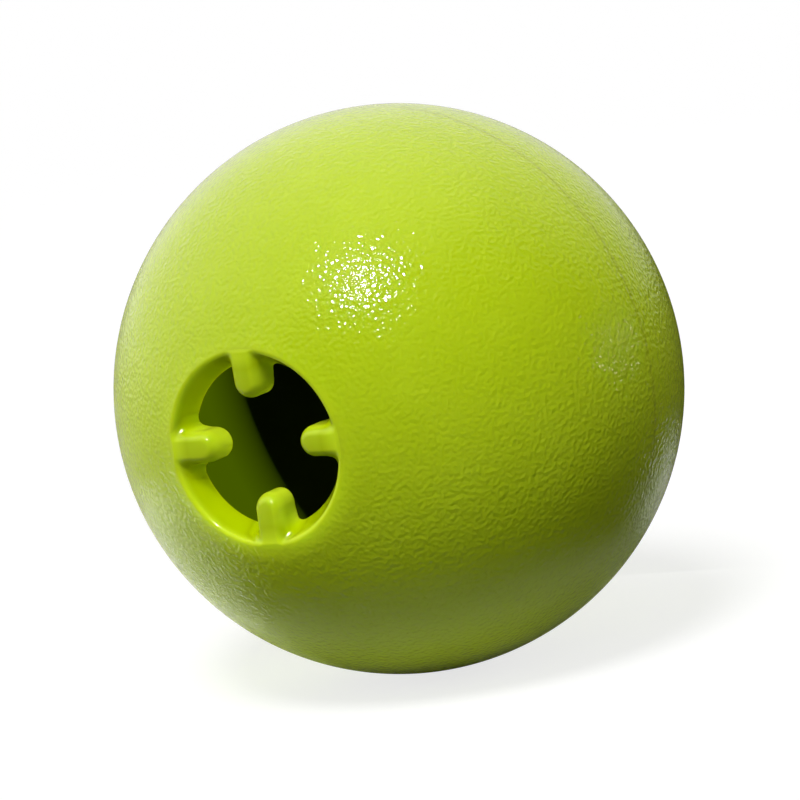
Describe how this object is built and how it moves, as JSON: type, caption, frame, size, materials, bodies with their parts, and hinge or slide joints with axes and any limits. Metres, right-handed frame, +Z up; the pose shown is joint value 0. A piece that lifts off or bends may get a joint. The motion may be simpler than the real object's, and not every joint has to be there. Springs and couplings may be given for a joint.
{
  "type": "treat dispensing ball",
  "caption": "Hollow grained rubber ball in bonded half shells, with a round mouth whose moulded-in flexing fingers let treats out slowly.",
  "frame": {"origin": "centre of the ball", "axes": "-Y out of the mouth along its axis, +Z up through the top finger, +X to the right as seen from the front"},
  "size_m": [0.1016, 0.0991, 0.1016],
  "materials": {
    "grained_rubber": "glossy lime rubber with a fine moulded leather grain",
    "smooth_rubber": "smooth glossy lime rubber"
  },
  "bodies": {
    "ball": {"front_shell": "grained_rubber", "back_shell": "grained_rubber"},
    "top_finger": {"finger_top": "smooth_rubber"},
    "right_finger": {"finger_right": "smooth_rubber"},
    "bottom_finger": {"finger_bottom": "smooth_rubber"},
    "left_finger": {"finger_left": "smooth_rubber"}
  },
  "joints": [
    {"name": "top_finger_flex", "type": "hinge", "parent": "ball", "child": "top_finger", "pos_m": [0, -0.04528, 0.0152], "axis": [1, 0, 0], "range_deg": [-15, 15], "stiffness_Nm_per_rad": 0.067},
    {"name": "right_finger_flex", "type": "hinge", "parent": "ball", "child": "right_finger", "pos_m": [0.0152, -0.04528, 0], "axis": [0, 0, -1], "range_deg": [-15, 15], "stiffness_Nm_per_rad": 0.067},
    {"name": "bottom_finger_flex", "type": "hinge", "parent": "ball", "child": "bottom_finger", "pos_m": [0, -0.04528, -0.0152], "axis": [-1, 0, 0], "range_deg": [-15, 15], "stiffness_Nm_per_rad": 0.067},
    {"name": "left_finger_flex", "type": "hinge", "parent": "ball", "child": "left_finger", "pos_m": [-0.0152, -0.04528, 0], "axis": [0, 0, 1], "range_deg": [-15, 15], "stiffness_Nm_per_rad": 0.067}
  ]
}
